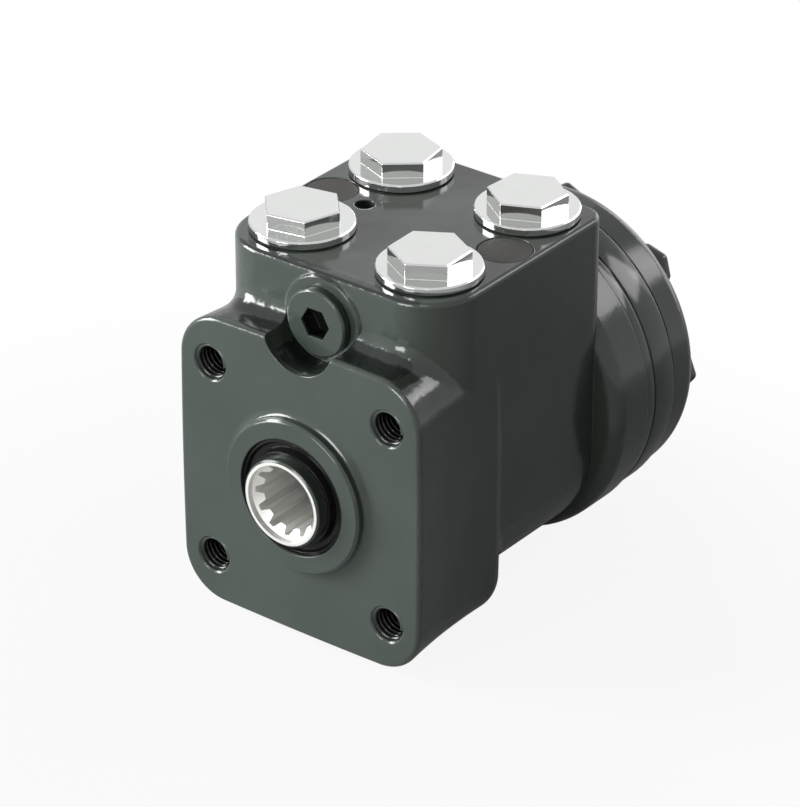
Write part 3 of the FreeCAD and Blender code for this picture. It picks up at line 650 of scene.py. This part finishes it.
def thread_tree():
    add, close, size = node_group("thread", {
        "Holes apart": hole_spacing,
        "Radius": hole_radius,
        "Depth": thread_depth,
        "Turns": (thread_end - thread_start) / thread_pitch,
        "Length": thread_end - thread_start,
    })
    middle = add("ShaderNodeMath", {"operation": "SUBTRACT"}, i0=size["Radius"],
                 i1=thread_depth * thread_rise)
    spiral = add("GeometryNodeCurveSpiral", Resolution=steps_per_turn, Rotations=size["Turns"],
                 Start_Radius=middle.outputs[0], End_Radius=middle.outputs[0],
                 Height=size["Length"])
    ridge = add("GeometryNodeCurvePrimitiveCircle", {"mode": "RADIUS"}, Resolution=4,
                Radius=size["Depth"])
    swept = add("GeometryNodeCurveToMesh", Curve=spiral.outputs[0],
                Profile_Curve=ridge.outputs[0], Fill_Caps=True)
    laid = add("GeometryNodeTransform", Geometry=swept.outputs[0],
               Rotation=(math.radians(-90), 0, 0), Translation=(0, thread_start, 0))
    grid = add("GeometryNodeMeshGrid", Size_X=size["Holes apart"], Size_Y=size["Holes apart"],
               Vertices_X=2, Vertices_Y=2)
    upright = add("GeometryNodeTransform", Geometry=grid.outputs[0],
                  Rotation=(math.radians(90), 0, 0))
    copies = add("GeometryNodeInstanceOnPoints", Points=upright.outputs[0],
                 Instance=laid.outputs[0])
    return close(copies.outputs[0])


threads = piece_from_tree("mounting_threads", thread_tree(), smooth_enamel)
finished(threads, smooth_enamel, "housing")
print("threads:", len(threads.data.polygons), "faces")

# %% [markdown]
# A film of enamel covers the chamfer and the side of the nose, so they are dark, and the rim
# stays bright steel. It is a ring turned from one closed profile, laid a twentieth of a
# millimetre over the steel, and it ends short of the dust seal.

# %% Paint on the side of the nose
nose_radius = 12.35 * mm
nose_chamfer = 0.5 * mm
paint_film = 0.05 * mm
turned_steps = 96


def turned_ring(name, profile):
    """Turns a closed profile of (distance along the shaft, radius) about the shaft."""
    shape = bmesh.new()
    rings = []
    for step in range(turned_steps):
        angle = 2 * math.pi * step / turned_steps
        across, up = math.cos(angle), math.sin(angle)
        rings.append([shape.verts.new((r * across, y, r * up)) for y, r in profile])
    for step, here in enumerate(rings):
        there = rings[(step + 1) % turned_steps]
        for k, start in enumerate(here):
            j = (k + 1) % len(profile)
            shape.faces.new((start, here[j], there[j], there[k]))
    bmesh.ops.recalc_face_normals(shape, faces=shape.faces)
    for face in shape.faces:
        face.smooth = True
    for edge in shape.edges:
        edge.smooth = edge.calc_face_angle(0) < sharp_angle
    mesh = bpy.data.meshes.new(name)
    shape.to_mesh(mesh)
    shape.free()
    piece = bpy.data.objects.new(name, mesh)
    bpy.context.scene.collection.objects.link(piece)
    return piece


nose_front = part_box("spool")[0][1]
paint_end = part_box("dust_seal")[0][1] - 0.1 * mm
nose_paint = turned_ring("nose_paint", [
    (nose_front, nose_radius - nose_chamfer),
    (nose_front - 0.5 * paint_film, nose_radius - nose_chamfer + paint_film),
    (nose_front + nose_chamfer - 0.5 * paint_film, nose_radius + paint_film),
    (paint_end, nose_radius + paint_film),
    (paint_end, nose_radius - paint_film),
    (nose_front + nose_chamfer, nose_radius - paint_film),
])
finished(nose_paint, smooth_enamel, "spool")
print("nose paint:", round((paint_end - nose_front) / mm, 2), "mm long")

# %% [markdown]
# The plates of the stack are painted after they are screwed together. The film is thick and
# draws back from each seam, so every seam is a dark line between two soft bright lips. Each
# band of paint is turned from a flat profile with quarter circles at its two ends.

# %% Paint bands round the stack
band_height = 0.3 * mm
band_gap = 0.25 * mm
band_steps = 4


def paint_band(node):
    """A ring of paint round a plate, with a lip at each end and its inside under the surface."""
    low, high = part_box(node)
    radius = (high[0] - low[0]) / 2
    start, end = low[1] + band_gap, high[1] - band_gap
    quarter = [math.radians(90) * step / band_steps for step in range(band_steps + 1)]
    lip = [(start + band_height * (1 - math.cos(a)), radius + band_height * math.sin(a))
           for a in quarter]
    other = [(start + end - y, r) for y, r in reversed(lip)]
    inside = [(end, radius - paint_film), (start, radius - paint_film)]
    return turned_ring(node + "_paint", lip + other + inside)


for node in ("distributor_plate", "gear_ring"):
    finished(paint_band(node), smooth_enamel, "housing")
print("paint bands:", round(band_height / mm, 2), "mm high")

# %% [markdown]
# The unit stands on a white table in a white room. A large soft lamp at the front left does
# most of the work, so the front is bright, the right side is dark and the shadow falls behind.
# A second one in front softens it, and four weak lamps only draw highlights: on the plugs, on
# the rounded corner beside the camera and on the round cover at the back. The camera, and every
# mirror reflection, sees the far table and the room as pure white. Close to the unit a
# reflection shows the table as it is lit, which keeps the shaded side of the paint dark.

# %% Floor, room and lamps
floor_height = model_box[0][2]
floor_half = 3.0
floor_level = 0.45
shadow_reach = 0.32
contact_near, contact_far = 0.1, 0.24
contact_white = 0.9
room_level = 0.08
lamp_aim = Vector((0, 0.04, 0))


def make_floor():
    """A square table that the camera sees as almost white, and a mirror as white further off."""
    mesh = bpy.data.meshes.new("floor")
    signs = ((-1, -1), (1, -1), (1, 1), (-1, 1))
    corners = [(x * floor_half, y * floor_half, floor_height) for x, y in signs]
    mesh.from_pydata(corners, [], [(0, 1, 2, 3)])
    floor = bpy.data.objects.new("floor", mesh)
    bpy.context.scene.collection.objects.link(floor)
    paper = Finish("white_paper")
    paper.feed(Base_Color=grey(floor_level), Roughness=0.9)
    seen = paper.path("Is Camera Ray")
    mirrored = paper.path("Is Glossy Ray") + paper.path("Is Transmission Ray")
    from_middle = {0: paper.place()}
    reach = paper.node("ShaderNodeVectorMath", {"operation": "LENGTH"}, from_middle, output=1)
    far = paper.ramp(reach, shadow_reach, 1.6 * shadow_reach)
    off_contact = paper.ramp(reach, contact_near, contact_far)
    lit = Value(paper, paper.shader.outputs[0])
    glow = paper.node("ShaderNodeEmission", {}, {"Color": grey(1.0), "Strength": 1.0})
    share = seen * (contact_white + (1 - contact_white) * off_contact) + mirrored * far
    blend = paper.node("ShaderNodeMixShader", {}, {0: share, 1: lit, 2: glow})
    paper.join(paper.tree.nodes["Material Output"].inputs["Surface"], blend)
    mesh.materials.append(paper.material)


def make_room(level):
    """A dim room for the light that it sheds, and a white one for the rays that look at it."""
    world = bpy.data.worlds.new("room")
    world.use_nodes = True
    bpy.context.scene.world = world
    tree = world.node_tree
    path = tree.nodes.new("ShaderNodeLightPath")
    seen = tree.nodes["Background"].inputs["Color"]
    for ray in ("Is Camera Ray", "Is Glossy Ray", "Is Transmission Ray"):
        share = tree.nodes.new("ShaderNodeMix")
        share.data_type = "RGBA"
        share.inputs[6].default_value = grey(level)
        share.inputs[7].default_value = grey(1.0)
        tree.links.new(path.outputs[ray], share.inputs[0])
        tree.links.new(share.outputs[2], seen)
        seen = share.inputs[6]


def soft_lamp(name, place, width, watts):
    """A square lamp that faces the unit."""
    data = bpy.data.lights.new(name, "AREA")
    data.size = width
    data.energy = watts
    lamp = bpy.data.objects.new(name, data)
    bpy.context.scene.collection.objects.link(lamp)
    lamp.location = place
    lamp.rotation_euler = (lamp_aim - Vector(place)).to_track_quat("-Z", "Y").to_euler()


make_floor()
make_room(room_level)
soft_lamp("left_lamp", (-1.2, -0.75, 0.5), 0.8, 45)
soft_lamp("front_lamp", (-0.1, -1.25, 0.35), 0.5, 11)
soft_lamp("sky_panel", (-0.80, 1.08, 0.73), 1.0, 0.8)
soft_lamp("camera_lamp", (0.55, -0.80, 0.95), 0.18, 1.2)
soft_lamp("back_right_lamp", (0.58, 0.87, 0.64), 0.42, 2.6)
soft_lamp("back_lamp", (0.15, 1.35, 0.2), 1.1, 7)
print("lamps:", [light.name for light in bpy.data.lights])
